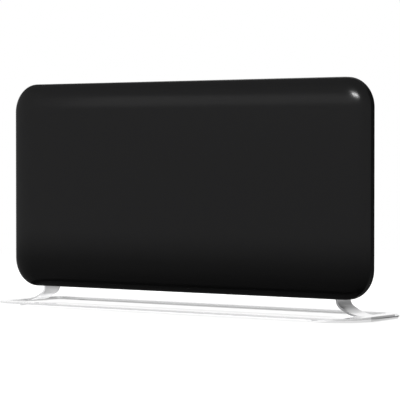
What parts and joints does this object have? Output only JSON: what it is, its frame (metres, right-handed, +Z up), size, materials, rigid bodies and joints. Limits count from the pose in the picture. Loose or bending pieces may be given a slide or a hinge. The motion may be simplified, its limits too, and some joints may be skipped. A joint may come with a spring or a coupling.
{
  "type": "panel heater",
  "caption": "Wide upright electric panel heater with a crowned, round-cornered gloss black front on a low, flat metal stand.",
  "frame": {"origin": "on the floor, midway between the legs and midway across the stand's depth", "axes": "+X to the right as seen from the front, +Y to the back, +Z up; the front faces -Y"},
  "size_m": [0.9, 0.226, 0.4678],
  "materials": {
    "black_coat": "satin black powder coat on steel sheet",
    "black_lacquer": "gloss black stoved lacquer on steel sheet",
    "black_plastic": "fine-grained black moulding",
    "brass": "turned brass",
    "ceramic": "unglazed ceramic, stated as matt plastic",
    "fin_metal": "mill-finish aluminium",
    "live_sleeve": "brown silicone sleeve",
    "neutral_sleeve": "blue silicone sleeve",
    "pale_plastic": "plain ivory moulding",
    "red_lens": "clear red moulding",
    "rubber": "cloudy clear silicone",
    "stand_metal": "satin aluminium plate",
    "zinc_steel": "bright zinc plating"
  },
  "bodies": {
    "heater": {"control_plate": "black_plastic", "cord_gland": "black_plastic", "cover_screw_1": "zinc_steel", "cover_screw_2": "zinc_steel", "cover_screw_3": "zinc_steel", "cover_screw_4": "zinc_steel", "cover_screw_5": "zinc_steel", "cover_screw_6": "zinc_steel", "cover_screw_7": "zinc_steel", "cover_screw_8": "zinc_steel", "element_bracket_left": "zinc_steel", "element_bracket_right": "zinc_steel", "element_cap_left": "ceramic", "element_cap_right": "ceramic", "element_fins": "fin_metal", "element_rod": "zinc_steel", "element_screw_1": "zinc_steel", "element_screw_2": "zinc_steel", "element_screw_3": "zinc_steel", "element_screw_4": "zinc_steel", "foot_pad_back_left": "rubber", "foot_pad_back_right": "rubber", "foot_pad_front_left": "rubber", "foot_pad_front_right": "rubber", "front_panel": "black_lacquer", "gland_nut": "black_plastic", "heat_shield": "fin_metal", "heat_switch": "black_plastic", "indicator_lens": "red_lens", "lead_bridge": "live_sleeve", "lead_cutout": "live_sleeve", "lead_element": "live_sleeve", "lead_neutral": "neutral_sleeve", "lead_supply": "live_sleeve", "lead_thermostat": "live_sleeve", "leg_bolt_left_1": "zinc_steel", "leg_bolt_left_2": "zinc_steel", "leg_bolt_right_1": "zinc_steel", "leg_bolt_right_2": "zinc_steel", "leg_bracket_left": "zinc_steel", "leg_bracket_right": "zinc_steel", "plate_screw_1": "zinc_steel", "plate_screw_2": "zinc_steel", "power_switch": "black_plastic", "rear_cover": "black_coat", "stand": "stand_metal", "terminal_block": "pale_plastic", "thermal_cutout": "pale_plastic", "thermostat_body": "pale_plastic", "tip_pin": "zinc_steel", "tip_switch_housing": "pale_plastic"},
    "knob": {"thermostat_knob": "black_plastic", "thermostat_shaft": "zinc_steel"},
    "power_rocker": {"power_rocker": "black_plastic"},
    "heat_rocker": {"heat_rocker": "black_plastic"},
    "pendulum": {"tip_pendulum": "brass"}
  },
  "joints": [
    {"name": "thermostat_turn", "type": "hinge", "parent": "heater", "child": "knob", "pos_m": [0.4036, 0.009, 0.214], "axis": [1, 0, 0], "range_deg": [0, 270]},
    {"name": "power_rock", "type": "hinge", "parent": "heater", "child": "power_rocker", "pos_m": [0.4003, 0.009, 0.168], "axis": [0, 1, 0], "range_deg": [-7, 7]},
    {"name": "heat_rock", "type": "hinge", "parent": "heater", "child": "heat_rocker", "pos_m": [0.4003, 0.009, 0.1415], "axis": [0, 1, 0], "range_deg": [-7, 7]},
    {"name": "tip_swing", "type": "hinge", "parent": "heater", "child": "pendulum", "pos_m": [0.24, 0.01, 0.105], "axis": [1, 0, 0], "range_deg": [-25, 25]}
  ]
}
